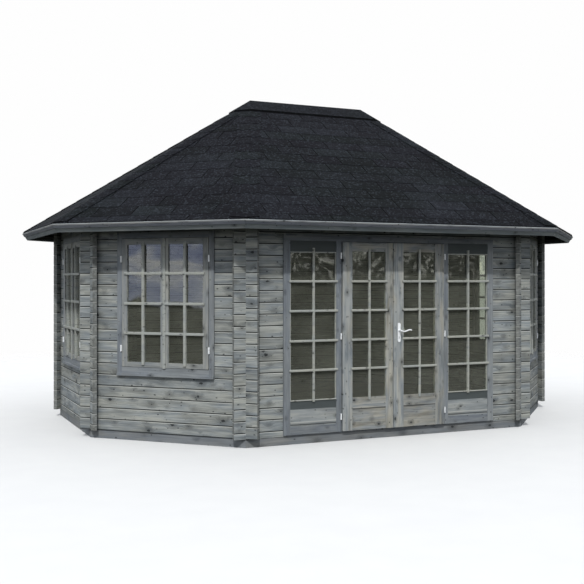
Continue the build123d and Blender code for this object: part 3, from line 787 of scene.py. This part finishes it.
@dataclass
class ShingledRoof:
    """Courses of tabbed shingles on the eight roof slopes, and bent shingles over the eight hips."""

    pitch: float = math.radians(32.2)
    overhang: float = 0.412
    eave: float = 2.165
    apothem: float = 2.1064
    first_edge: float = 0.012
    second_edge: float = 0.126
    exposure: float = 0.198
    lap: float = 0.05
    tab: float = 0.438
    slot: float = 0.006
    lift: float = 0.004
    felt: float = 0.0035
    skin: float = 0.0008
    rim: float = 0.009
    lip: float = 0.012
    curl: float = 0.0005
    cap_reach: float = 0.284
    hip_half: float = 0.135
    hip_lap: float = 0.07
    hip_fold: float = 0.03
    hip_lip: float = 0.010
    hip_eave: float = 0.018
    seed: int = 11

    def slope_length(self) -> float:
        """Length of each slope from the eave up to the ridge."""
        return (self.apothem + self.overhang) / math.cos(self.pitch)

    def rows(self, top: float) -> np.ndarray:
        """Lower edges of the rows up a slope: a starter row, then rows at an equal exposure."""
        return np.concatenate([[self.first_edge], np.arange(self.second_edge, top, self.exposure)])

    def hip_line(self, up: np.ndarray) -> np.ndarray:
        """Distance along the wall from its corner to the hip, at a distance up the slope."""
        return (up * math.cos(self.pitch) - self.overhang) * math.tan(OUTLINE.corner / 2)

    def on_slope(self, side: Side, along: np.ndarray, up: np.ndarray, over: np.ndarray) -> np.ndarray:
        """Points over a slope.

        Args:
            side: the wall under the slope.
            along: distance along the wall from its start.
            up: distance up the slope from the eave.
            over: distance over the slope, at right angles to it.

        Returns:
            Points, with x, y and z in the last axis.
        """
        inward = -self.overhang + up * math.cos(self.pitch) - over * math.sin(self.pitch)
        height = self.eave + up * math.sin(self.pitch) + over * math.cos(self.pitch)
        return OUTLINE.place(side, along, inward, height)

    def tabs(self, side: Side, chance: np.random.Generator) -> tuple[np.ndarray, ...]:
        """Lay out the tabs of one slope: every second row is moved by half a tab, and pairs share a tone.

        Args:
            side: the wall under the slope.
            chance: the source of random numbers.

        Returns:
            For each tab its left and right edge, lower and upper edge, tone and tint.
        """
        top = self.slope_length() - self.cap_reach
        lower = self.rows(top)
        upper = np.minimum(np.concatenate([lower[1:], [top]]) + self.lap, top)
        length = OUTLINE.length(side)
        count = int(length / self.tab) + 5
        row, column = np.meshgrid(np.arange(len(lower)), np.arange(count), indexing="ij")
        left = length / 2 + (column - count // 2 + 0.5 * (row % 2)) * self.tab
        group = chance.random((len(lower), count // 2 + 2))
        tone = 0.62 * np.take_along_axis(group, (column + row % 3) // 2, 1) + 0.38 * chance.random(left.shape)
        tint = chance.random(left.shape) * 0.4 + 0.6 * chance.random((len(lower), 1))
        bound = self.hip_line(lower)[row]
        keep = (left + self.tab > bound) & (left < length - bound)
        return (left[keep], left[keep] + self.tab, lower[row][keep], upper[row][keep],
                np.clip(tone[keep], 0, 1), tint[keep])

    def corner_values(self, tone: np.ndarray, tint: np.ndarray, rim: np.ndarray) -> dict[str, np.ndarray]:
        """Give each shingle's tone and tint to all its corners, beside how dark each one is drawn: the felt's
        cut edge and painted shade.
        """
        wide = [np.broadcast_to(numbers[:, None, None], rim.shape) for numbers in (tone, tint)]
        return {"tone": wide[0], "tint": wide[1], "rim": rim}

    def slope_mesh(self, side: Side, chance: np.random.Generator) -> Part:
        """Tabs of one slope as closed wedges: thick at the lower edge, thin where the next row covers them.

        Each wedge is a tube across the slope. Its ring goes down the face and back under it, and its four
        rings stand at the left edge, just inside it, just inside the right edge and at the right edge.

        Args:
            side: the wall under the slope.
            chance: the source of random numbers.

        Returns:
            Corner points, faces and the corner values.
        """
        left, right, low, high, tone, tint = self.tabs(side, chance)
        left, right = left + self.slot / 2, right - self.slot / 2
        across = np.stack([left, left + self.rim, right - self.rim, right], 1)[:, :, None]
        up = np.stack([high, low + self.lip, low, low, low + self.lip, high], 1)[:, None, :]
        # The face rises to its lower edge, and the underside lies a fraction of a millimetre over the boards.
        thick = self.lift + self.felt
        over = np.array([self.felt + self.skin, thick, thick - self.skin, 0.0006, 0.0004, 0.0003])
        curl = chance.normal(0, self.curl, (len(left), 4, 1)) * np.array([0, 1, 1, 0, 0, 0])
        bound = self.hip_line(up)
        along = np.clip(across, bound, OUTLINE.length(side) - bound)
        # Side edges and the lower edge are darkened: the felt's dark cut edge, and painted shade in the slots
        # and under the lip.
        edge = np.zeros(along.shape)
        edge[:, [0, 3]] = 0.8
        edge[:, :, [2, 3]] = 0.7
        points = self.on_slope(side, along, up, over + curl).reshape(-1, 3)
        return points, tube_faces(len(left), 6, 4)[:, ::-1], self.corner_values(tone, tint, edge)

    def hip_mesh(self, side: Side, chance: np.random.Generator) -> Part:
        """Shingles bent over the hip between this slope and the next, with their lower corners cut off.

        A point at a distance x across the hip drops by the slopes' fall times (square root of x² + r²) − r,
        which rounds the fold to the radius r.

        Args:
            side: the slope on the hip's left.
            chance: the source of random numbers.

        Returns:
            Corner points, faces and the corner values.
        """
        length, heading, half_corner = self.slope_length(), OUTLINE.heading(side), OUTLINE.corner / 2
        foot, head = [self.on_slope(side, OUTLINE.length(side) - self.hip_line(up), up, 0.0)
                      for up in (0.0, length)]
        stretch = float(np.linalg.norm(head - foot)) / length
        run = (head - foot) / (stretch * length)
        ahead, level = [np.array([math.cos(angle), math.sin(angle), 0.0])
                        for angle in (heading, heading + half_corner)]
        crown = np.cross(level, run)
        normal = np.cross(ahead, run)
        fall = math.tan(math.acos(abs(float(normal @ crown)) / float(np.linalg.norm(normal))))
        # The rows keep step with those of the slopes; the last one ends at the ridge cap.
        top = stretch * (length - self.cap_reach) - self.lip
        start = self.rows(top / stretch) * stretch
        upper = np.minimum(start + self.exposure * stretch + self.hip_lap, top)
        reach = np.abs(np.linspace(-1, 1, 13))
        across = np.linspace(-1, 1, 13) * self.hip_half
        cut = self.hip_lap * np.clip(2 * reach - 1, 0, 1)
        drop = fall * (np.sqrt(across ** 2 + self.hip_fold ** 2) - self.hip_fold)
        # The rings run across the hip: upper end on top, lower lip, and the undersides of the two.
        lip = start + self.hip_lip
        up = np.stack([upper, lip, start, start, lip, upper], 1)[:, None, :]
        place = np.minimum(up + cut[:, None] * np.array([0, 1, 1, 1, 1, 0]), upper[:, None, None])
        # No shingle reaches over the eave, which bends back by half the corner's angle beside the hip.
        eave = (np.abs(across) * math.sin(half_corner) + self.hip_eave) / (
            float(np.hypot(run[0], run[1])) * math.cos(half_corner))
        rounded = np.array([self.lip, self.hip_lip, 0, 0, self.hip_lip, self.lip])
        place = np.maximum(place, eave[:, None] + rounded)
        # The hip shingles ride 4 to 5.5 mm over the fold's line, on the tabs of the two slopes.
        thick = self.lift + self.felt
        over = np.array([0.003, thick, thick - self.skin, 0.001, 0.0008, -0.0012])
        lifted = over + (0.0055 - 0.0015 * reach ** 2 - drop)[:, None]
        points = foot + place[..., None] * run + across[:, None, None] * level + lifted[..., None] * crown
        # The lower lip is darkened: the felt's dark cut edge, and painted shade under it.
        edge = np.zeros(place.shape)
        edge[:, :, [2, 3]] = 0.8
        tone, tint = chance.random(len(start)) * 0.6 + 0.2, chance.random(len(start))
        faces = tube_faces(len(start), 6, 13)[:, ::-1]
        return points.reshape(-1, 3), faces, self.corner_values(tone, tint, edge)

    def build(self) -> None:
        """Make one piece of tabs for each slope and one piece of all the hips, and dress the ridge cap."""
        chance = np.random.default_rng(self.seed)
        felt = StoneFacedFelt(tabs=True).material("felt_shingle_slate_granules")
        for side in Side:
            tabs = [self.slope_mesh(side, chance)]
            mesh_piece(f"{side.label}_shingles", tabs, "house", felt)
        hips = [self.hip_mesh(side, chance) for side in Side]
        mesh_piece("hip_shingles", hips, "house", felt)
        dress(["ridge_cap"], StoneFacedFelt(tabs=False).material("felt_ridge_slate_granules"))


@dataclass
class EaveStrip:
    """A thin planed strip on the fascia boards, right under the drip, mitred at the eight corners."""

    roof: ShingledRoof
    front: float = 0.0002
    back: float = 0.0055
    top: float = 0.0145
    bottom: float = 0.046
    bevel: float = 0.002
    grain: Grain = Grain(dark="585d63", middle="71777e", light="8b8f94", cool="6f7480", warm="7c7c81",
                         knot_spacing=0.5, board=0.032, knot_radius=0.006, sameness=0.3, spread=0.05)

    def build(self) -> None:
        """Carry the strip's section along each eave: a rectangle with its two outer edges bevelled."""
        roof, bevelled = self.roof, self.front + self.bevel
        behind = np.array([self.back, self.back, bevelled, self.front, self.front, bevelled])
        drop = np.array([self.top, self.bottom, self.bottom, self.bottom - self.bevel, self.top + self.bevel,
                         self.top])
        mitre = (behind * math.cos(roof.pitch) + drop * math.sin(roof.pitch) - roof.overhang) * math.tan(
            OUTLINE.corner / 2)
        rings = [roof.on_slope(side, np.stack([mitre, OUTLINE.length(side) - mitre]), behind, -drop)
                 for side in Side]
        part = (np.concatenate(rings).reshape(-1, 3), tube_faces(len(Side), len(drop), 2), {})
        wood = BeamTimber(23.0, self.grain).material("planed_spruce_eave_strip")
        mesh_piece("eave_strips", [part], "house", wood)


@dataclass(frozen=True)
class BarProfile:
    """Section of a planed glazing bar: flat at the back, with its two front edges rounded."""

    width: float
    depth: float
    round_over: float = 0.005

    def ring(self) -> tuple[np.ndarray, np.ndarray]:
        """Corners of the section, anticlockwise, with the front towards minus: a box with two quarter rounds.

        Returns:
            Places across the bar and places in depth, 0 at the back.
        """
        turn = np.linspace(0, math.pi / 2, 4)
        half, r = self.width / 2, min(self.round_over, self.depth * 0.6)
        across = np.concatenate([[-half], -half + r - r * np.cos(turn), half - r + r * np.sin(turn), [half]])
        inner = -self.depth + r
        depth = np.concatenate([[0.0], inner - r * np.sin(turn), inner - r * np.cos(turn), [0.0]])
        return across, depth

    def bars(self, side: Side, rows: list[tuple[float, float, float, float]], upright: bool) -> Part:
        """Carry the section along straight bars that are all level or all upright.

        Args:
            side: the wall that the bars are on.
            rows: for each bar the place of its middle line, its two ends and its back's depth.
            upright: whether the bars stand.

        Returns:
            Corner points, faces and no corner values.
        """
        across, depth = self.ring()
        middle, start, end, back = np.array(rows).T[:, :, None, None]
        run, cross = start + (end - start) * np.array([[0], [1]]), middle + across
        along, height = (cross, run) if upright else (run, cross)
        points = OUTLINE.place(side, along, back + depth, height).reshape(-1, 3)
        faces = tube_faces(len(rows), len(across), 2)
        return points, faces[:, ::-1] if upright else faces, {}


@dataclass(frozen=True)
class Lattice:
    """The bars of one pane: level ones at the rows' heights and an upright one, with slim bars behind them.

    The reach is half the level bars' length, the ends are the upright bar's heights, and the backs and the
    glass are depths. The half and the opening are half the glass opening's width and its edges' heights.
    """

    rows: tuple[float, ...]
    level: BarProfile
    upright: BarProfile
    reach: float
    ends: tuple[float, float]
    back: float
    upright_back: float
    glass: float
    half: float
    opening: tuple[float, float]

    def parts(self, side: Side, middle: float, pane: float) -> list[Part]:
        """Make the bars of one pane.

        Args:
            side: the wall.
            middle: the upright bar's place along the wall.
            pane: the glass opening's middle along the wall.

        Returns:
            The level bars and the upright one, then the slim bars that fill the space up to the glass.
        """
        slim = BarProfile(0.014, self.glass - self.back, 0.001)
        level = [(height, middle - self.reach, middle + self.reach, self.back) for height in self.rows]
        behind = [(height, pane - self.half, pane + self.half, self.glass) for height in self.rows]
        return [self.level.bars(side, level, False),
                self.upright.bars(side, [(middle, *self.ends, self.upright_back)], True),
                slim.bars(side, behind, False), slim.bars(side, [(pane, *self.opening, self.glass)], True)]


@dataclass
class GlazingBars:
    """Bars in front of the glass of the windows, leaves and side lights, with their ends over the frames."""

    leaf: Lattice = Lattice((0.7215, 1.012, 1.3075, 1.600), BarProfile(0.024, 0.011),
                            BarProfile(0.023, 0.0125), reach=0.206, ends=(0.405, 1.930), back=-0.035,
                            upright_back=-0.0352, glass=-0.021, half=0.192, opening=(0.4305, 1.9015))
    side_light: Lattice = replace(leaf, upright=BarProfile(0.023, 0.019), reach=0.264, ends=(0.4115, 1.931),
                                  back=-0.016, upright_back=-0.0083, glass=0.004, half=0.2515,
                                  opening=(0.4325, 1.8935))
    sash: Lattice = Lattice((1.08, 1.377, 1.678), BarProfile(0.028, 0.013), BarProfile(0.029, 0.014),
                            reach=0.213, ends=(0.765, 1.99), back=-0.0191, upright_back=-0.0193, glass=-0.005,
                            half=0.1892, opening=(0.7915, 1.9675))
    leaf_middle: float = 0.296
    pane_shift: float = 0.0015
    side_middle: float = 0.913
    sash_middle: float = 0.2335
    sash_shift: float = -0.006
    edge_bar: BarProfile = BarProfile(0.013, 0.008, 0.003)
    edge_heights: tuple[float, float] = (1.887, 0.4275)
    edge_back: float = -0.0082
    bead: BarProfile = BarProfile(0.008, 0.017, 0.003)
    bead_middle: float = 0.2475
    cover: BarProfile = BarProfile(0.033, 0.010)
    cover_shift: float = -0.0025
    cover_run: tuple[float, float, float] = (0.735, 2.03, -0.0192)
    pale: Grain = Grain(dark="7a7f7f", middle="979b95", light="aaaca6", cool="8f9597", warm="9f9e94",
                        knot_spacing=0.2, board=0.05, knot_radius=0.006, sameness=0.42, spread=0.05)

    def side_lights(self, centre: float) -> list[Part]:
        """Bars of the side lights, with thin ones over and under the glass and beads at its sides.

        Args:
            centre: the doors' middle along the front.

        Returns:
            The parts of one piece.
        """
        parts = []
        for sign in (-1, 1):
            middle, half = centre + sign * self.side_middle, self.side_light.half
            edges = [(height, middle - half, middle + half, self.edge_back) for height in self.edge_heights]
            beads = [(middle + edge * self.bead_middle, *self.side_light.opening, self.side_light.glass)
                     for edge in (-1, 1)]
            parts += self.side_light.parts(Side.FRONT, middle, middle)
            parts += [self.edge_bar.bars(Side.FRONT, edges, False), self.bead.bars(Side.FRONT, beads, True)]
        return parts

    def build(self) -> None:
        """Make the bars of the leaves, side lights and windows, and the cover strips between the sashes."""
        centre = OUTLINE.long_side / 2
        timber = JoineryTimber(seed=3.0, grain=self.pale).material("planed_pine_door_bars")
        for name, sign in (("left_leaf", -1), ("right_leaf", 1)):
            middle = centre + sign * self.leaf_middle
            parts = self.leaf.parts(Side.FRONT, middle, middle + sign * self.pane_shift)
            mesh_piece(f"{name}_bars", parts, name, timber)
        mesh_piece("side_light_bars", self.side_lights(centre), "house", timber)
        middle = OUTLINE.short_side / 2
        for index, side in enumerate(WINDOW_SIDES):
            panes = [middle + sign * self.sash_middle for sign in (-1, 1)]
            parts = [part for pane in panes for part in self.sash.parts(side, pane + self.sash_shift, pane)]
            wood = JoineryTimber(OUTLINE.heading(side), seed=5.0 + index, grain=self.pale).material(
                f"planed_pine_bars_{side.label}")
            mesh_piece(f"{side.label}_window_bars", parts, "house", wood)
            strip = self.cover.bars(side, [(middle + self.cover_shift, *self.cover_run)], True)
            mesh_piece(f"{side.label}_cover_strip", [strip], "house", wood)


@dataclass
class WindowHinges:
    """Two-part barrel hinges beside the sashes: knuckles with a gap between them and domed pin ends.

    The rises and the widths are the barrel's profile, in halves of its height and in radii.
    """

    radius: float = 0.009
    half: float = 0.031
    offset: float = 0.491
    heights: tuple[float, float] = (1.824, 0.926)
    inward: float = -0.0235
    rises: tuple[float, ...] = (-1.08, -1.05, -1.0, -0.98, -0.05, -0.03, 0.03, 0.05, 0.98, 1.0, 1.05, 1.08)
    widths: tuple[float, ...] = (0.25, 0.62, 0.8, 1.0, 1.0, 0.82, 0.82, 1.0, 1.0, 0.8, 0.62, 0.25)

    def barrel(self, side: Side, along: float, height: float) -> Part:
        """A barrel as a profile turned round its pin: domed ends, two knuckles and the gap between them.

        Args:
            side: the wall.
            along: the pin's distance along the wall.
            height: the height of the barrel's middle.

        Returns:
            Corner points, faces and no corner values.
        """
        rise = np.array(self.rises)[:, None] * self.half
        wide = np.array(self.widths)[:, None] * self.radius
        turn = np.arange(12) / 12 * 2 * math.pi
        x, y = along + wide * np.cos(turn), self.inward + wide * np.sin(turn)
        points = OUTLINE.place(side, x, y, height + rise)
        return points.reshape(-1, 3), tube_faces(1, 12, len(rise))[:, ::-1], {}

    def build(self) -> None:
        """Make the sixteen barrels as one piece and dress it."""
        parts = [self.barrel(side, OUTLINE.short_side / 2 + sign * self.offset, height)
                 for side in WINDOW_SIDES for sign in (-1, 1) for height in self.heights]
        steel = CoatedSteel().material("white_coated_window_hinges")
        mesh_piece("window_hinges", parts, "house", steel)


@dataclass
class Timbers:
    """Finishes of the CAD model's own pieces, which keep their shapes."""

    base_top: float = 0.083
    pitch: float = 0.114
    roof_board: float = 0.095
    sash_middle: float = 0.2335
    side_middle: float = 0.913
    leaf_middle: float = 0.2975
    door_head: float = 2.002
    panel_top: float = 0.214
    panel_foot: float = 0.19
    leaf_rail: float = 0.317

    def walls(self) -> None:
        """Dress the logs of each wall: even walls start on half a log, and odd ones on a whole log."""
        front = ("front_wall_left", "front_wall_right", "front_wall_header")
        for side in Side:
            joint = self.base_top + (self.pitch / 2 if side.value % 2 == 0 else 0.0)
            for number, name in enumerate(front if side is Side.FRONT else (f"{side.label}_wall",)):
                seed = 40.0 * side.value + 400.0 * number
                finish = LogTimber(OUTLINE.heading(side), joint, seed, self.pitch)
                dress([name], finish.material(f"glazed_spruce_logs_{name}"))

    def joinery(self) -> None:
        """Dress the window frames, sashes, door set and leaves: the fixed frames are a cooler grey."""
        cool = Grain(dark="52585d", middle="747a80", light="909596", cool="6e757e", warm="808382",
                     knot_spacing=0.4, board=0.09, knot_radius=0.014, sameness=0.32, spread=0.08)
        panel = Grain(dark="646a6c", middle="939898", light="b3b6b2", cool="878e93", warm="9f9f98",
                      knot_spacing=0.3, board=0.09, knot_radius=0.014, sameness=0.3, spread=0.1)
        lively = Grain(dark="5a6062", middle="8d918f", light="abaca6", cool="7c848d", warm="a49b86",
                       knot_spacing=0.3, board=0.09, knot_radius=0.015, sameness=0.25, spread=0.12)
        for side in WINDOW_SIDES:
            angle, (x, y) = OUTLINE.heading(side), OUTLINE.start(side)
            centre = x * math.cos(angle) + y * math.sin(angle) + OUTLINE.short_side / 2
            casing = JoineryTimber(angle, centre, half=0.487, seed=20.0 + side.value, grain=cool)
            sashes = JoineryTimber(angle, centre, self.sash_middle, half=0.19, seed=30.0 + side.value)
            dress([f"{side.label}_window_frame"], casing.material(f"planed_pine_casing_{side.label}"))
            dress([f"{side.label}_window_sashes"], sashes.material(f"planed_pine_sashes_{side.label}"))
        frames = JoineryTimber(fold=self.side_middle, half=0.252, seed=41.0, head=self.door_head, grain=cool)
        dress(["door_frame"], frames.material("planed_pine_door_frame"))
        panels = JoineryTimber(fold=self.side_middle, half=0.3, seed=43.0, quirk=self.panel_foot,
                               arris=self.panel_top, grain=panel)
        dress(["side_light_panels"], panels.material("planed_pine_side_panels"))
        for name, sign in (("left", -1), ("right", 1)):
            leaf = JoineryTimber(centre=sign * self.leaf_middle, half=0.1925, seed=45.0 + 9.0 * sign,
                                 quirk=self.leaf_rail, grain=lively)
            dress([f"{name}_door_leaf"], leaf.material(f"planed_pine_{name}_leaf"))

    def beams(self) -> None:
        """Dress the boards that run round the building, and the rafters, joists and floor."""
        fascia = Grain(dark="5c6467", middle="7c8487", light="9aa0a0", cool="778086", warm="868986",
                       knot_spacing=0.6, board=0.095, knot_radius=0.012, sameness=0.34, spread=0.06)
        base = Grain(dark="5b6063", middle="757a7d", light="8c8f90", cool="70767e", warm="807f7b",
                     knot_spacing=0.5, board=0.083, sameness=0.34, spread=0.06)
        rough = Grain(dark="6d675a", middle="857d6c", light="9a917e", cool="7b766b", warm="8d8069")
        pale = Grain(dark="85898b", middle="a4a7a8", light="bcbebd", cool="999ea5", warm="a7a6a1",
                     spread=0.05)
        # Wood under the eaves is drawn nearly black: painted shade.
        soffit_painted_shade = Grain(dark="1d1e1a", middle="2a2b25", light="37382f", cool="282a29", warm="302e26",
                       spread=0.1)
        for name, seed, grain in (("base_frame", 3.0, base), ("fascia_boards", 7.0, fascia),
                                  ("eaves_drips", 9.0, pale), ("eave_battens", 11.0, soffit_painted_shade),
                                  ("ridge_beam", 13.0, rough), ("hip_rafters", 15.0, rough),
                                  ("floor_joists", 17.0, rough)):
            dress([name], BeamTimber(seed, grain).material(f"sawn_spruce_{name}"))
        boards = BeamTimber(19.0, soffit_painted_shade, self.roof_board * math.sin(ShingledRoof.pitch))
        dress([f"{side.label}_roof_panel" for side in Side], boards.material("planed_spruce_roof_boards"))
        dress(["floor_boards"], FloorPlanks().material("planed_spruce_floorboards"))

    def fittings(self) -> None:
        """Dress the glass, the dark boards, the hinges and the door furniture."""
        dress(["window_glass", "side_light_glass", "left_door_glass", "right_door_glass"],
              FloatGlass().material("float_glass_double_panes"))
        dress(["side_light_infill"], PaintedBoard().material("painted_infill_board"))
        dress(["left_leaf_hinges", "right_leaf_hinges", "frame_hinges"],
              CoatedSteel(barrel=0.613, radius=0.0075).material("white_coated_door_hinges"))
        dress(["handle_plates", "door_lever"],
              PowderCoatedAluminium().material("powder_coated_door_furniture"))

    def build(self) -> None:
        """Dress every CAD piece that stays in view."""
        self.walls()
        self.joinery()
        self.beams()
        self.fittings()
        log.info("CAD pieces dressed: %d", len(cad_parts))


@dataclass(frozen=True)
class StudioFloor(Finish):
    """A painted floor with faint clouds of dust; it fades out towards its rim and bounces little light."""

    near: str = "d6d7d8"
    far: str = "dcdddd"
    bounced: str = "3c3c36"
    fade: tuple[float, float] = (6.5, 11.5)

    def surface(self, tree: bpy.types.NodeTree) -> bpy.types.NodeSocket:
        """Matt paint that turns clear between the two radii of the fade.

        Args:
            tree: the material's node tree.

        Returns:
            The surface's shader.
        """
        place = add(tree, "TexCoord")["Object"]
        far = add(tree, "VectorMath LENGTH", [place])["Value"]
        fade = add(tree, "MapRange SMOOTHSTEP", [far, *self.fade])[0]
        seen = add(tree, "LightPath")["Is Camera Ray"]
        dusty = add(tree, "TexNoise", {"Vector": place, "Scale": 3.0, "Detail": 4.0})[0]
        pale = add(tree, "Mix RGBA", {0: dusty, 6: self.near, 7: self.far})[2]
        tone = add(tree, "Mix RGBA", {0: seen, 6: self.bounced, 7: pale})[2]
        matt = add(tree, "BsdfPrincipled", {"Base Color": tone, "Roughness": 0.9,
                                            "Specular IOR Level": 0.1})[0]
        clear = add(tree, "BsdfTransparent")[0]
        return add(tree, "MixShader", [fade, matt, clear])[0]


@dataclass
class Studio:
    """Pale floor, soft sky, one low sun behind the camera's left shoulder, and the camera."""

    eye: tuple[float, float, float] = (-4.847, -10.4193, 1.6078)
    turn: float = math.radians(24.0346)
    lens: float = 57.23
    shift: float = -0.0195
    floor_radius: float = 12.0
    floor_level: float = -0.001
    sun_turn: float = math.radians(28)
    sun_rise: float = math.radians(47)
    sun_size: float = math.radians(2.2)
    sun_power: float = 2.25
    sun_colour: tuple[float, float, float] = (1.0, 0.985, 0.955)
    sky_power: float = 1.03
    mirrored_power: float = 2.3

    def camera(self) -> None:
        """Put the camera at the photograph's place, level, its horizon a little over the picture's middle."""
        data = bpy.data.cameras.new("camera")
        data.lens, data.sensor_width, data.shift_y = self.lens, 36.0, self.shift
        eye = linked("camera", data)
        eye.location = self.eye
        eye.rotation_euler = (math.pi / 2, 0.0, -self.turn)
        bpy.context.scene.camera = eye

    def floor(self) -> None:
        """A disc on the ground: one face round a circle."""
        turn = np.arange(64) / 64 * 2 * math.pi
        rim = np.stack([self.floor_radius * np.cos(turn), self.floor_radius * np.sin(turn),
                        np.full(64, self.floor_level)], -1)
        mesh = bpy.data.meshes.new("floor")
        mesh.from_pydata(rim.tolist(), [], [list(range(64))])
        mesh.materials.append(StudioFloor().material("painted_studio_floor"))
        linked("floor", mesh)

    def sky(self) -> None:
        """Even light from above; a calm cloudy sky over a dark hedge is what glass and metal mirror."""
        world = bpy.data.worlds.new("soft_sky")
        world.use_nodes = True
        tree = world.node_tree
        tree.nodes.clear()
        ray = add(tree, "TexCoord")["Generated"]
        paths = add(tree, "LightPath")
        axes = add(tree, "SeparateXYZ", [ray])
        flat = add(tree, "Mapping", {"Vector": ray, "Scale": (3.0, 3.0, 34.0)})[0]
        clouds = add(tree, "TexNoise", {"Vector": flat, "Scale": 1.3, "Detail": 4.0})[0]
        climb = add(tree, "MapRange", [axes[2], -0.03, 0.04, -0.12, 0.08])[0]
        cover = add(tree, "Math ADD", [clouds, climb])[0]
        air = add(tree, "ValToRGB", [cover], ramp=[(0.38, "7480a8"), (0.5, "a3abc6"), (0.6, "dfe0e2")])[0]
        # Open country to the west, where the sky comes down to a low hedge; tall trees all round the rest.
        west = add(tree, "VectorMath DOT_PRODUCT", [ray, (-0.96, -0.28, 0.0)])["Value"]
        closed = add(tree, "MapRange SMOOTHSTEP", [west, 0.86, 0.7])[0]
        leaf = add(tree, "TexNoise", {"Vector": ray, "Scale": 22.0, "Detail": 6.0})[0]
        hedge = add(tree, "Math MULTIPLY_ADD", [leaf, 0.03, -0.039])[0]
        tree_top = add(tree, "Math MULTIPLY_ADD", [closed, 0.5, hedge])[0]
        above = add(tree, "Math SUBTRACT", [axes[2], tree_top])[0]
        open_air = add(tree, "MapRange", [above, -0.002, 0.002])[0]
        twig = add(tree, "TexNoise", {"Vector": ray, "Scale": 190.0, "Detail": 3.0})[0]
        light_gap = add(tree, "MapRange", [twig, 0.53, 0.63])[0]
        high = add(tree, "MapRange", [axes[2], 0.0, 0.008])[0]
        shown_gap = add(tree, "Math MULTIPLY", [light_gap, high])[0]
        # The trees to the south are dark; those to the north and east stand further off, in haze.
        north = add(tree, "MapRange", [axes[1], 0.1, 0.4])[0]
        trunks = add(tree, "Mix RGBA", {0: north, 6: "33342c", 7: "8c908e"})[2]
        wood = add(tree, "Mix RGBA", {0: shown_gap, 6: trunks, 7: "c0c1b9"})[2]
        mirrored = add(tree, "Mix RGBA", {0: open_air, 6: wood, 7: air})[2]
        bright = add(tree, "VectorMath SCALE", {0: mirrored, "Scale": self.mirrored_power})[0]
        rise = add(tree, "MapRange SMOOTHSTEP", [axes[2], -0.07, 0.03])[0]
        around = add(tree, "Mix RGBA", {0: rise, 6: "3b3d3c", 7: "f3f6fb"})[2]
        dimmed = add(tree, "VectorMath SCALE", {0: around, "Scale": self.sky_power})[0]
        lit = add(tree, "Mix RGBA", {0: paths["Is Glossy Ray"], 6: dimmed, 7: bright})[2]
        shown = add(tree, "Mix RGBA", {0: paths["Is Camera Ray"], 6: lit, 7: "fefefe"})[2]
        light = add(tree, "Background", {"Color": shown, "Strength": 1.0})[0]
        add(tree, "OutputWorld", {"Surface": light})
        bpy.context.scene.world = world

    def sun(self) -> None:
        """One sun whose shadow edge is a little soft."""
        data = bpy.data.lights.new("sun", "SUN")
        data.energy, data.angle, data.color = self.sun_power, self.sun_size, self.sun_colour
        lamp = linked("sun", data)
        lamp.rotation_euler = (math.pi / 2 - self.sun_rise, 0.0, -self.sun_turn)

    def build(self) -> None:
        """Set the stage, and show colours as they are, with no film curve over them."""
        self.camera()
        self.floor()
        self.sky()
        self.sun()
        bpy.context.scene.view_settings.view_transform = "Standard"


def main() -> None:
    """Build the summerhouse's looks."""
    logging.basicConfig(level=logging.INFO, format="%(name)s: %(message)s")
    roof = ShingledRoof()
    for part in (Studio(), Timbers(), roof, EaveStrip(roof), GlazingBars(), WindowHinges()):
        part.build()
        log.info("%s is done", type(part).__name__)


if __name__ == "__main__":
    main()
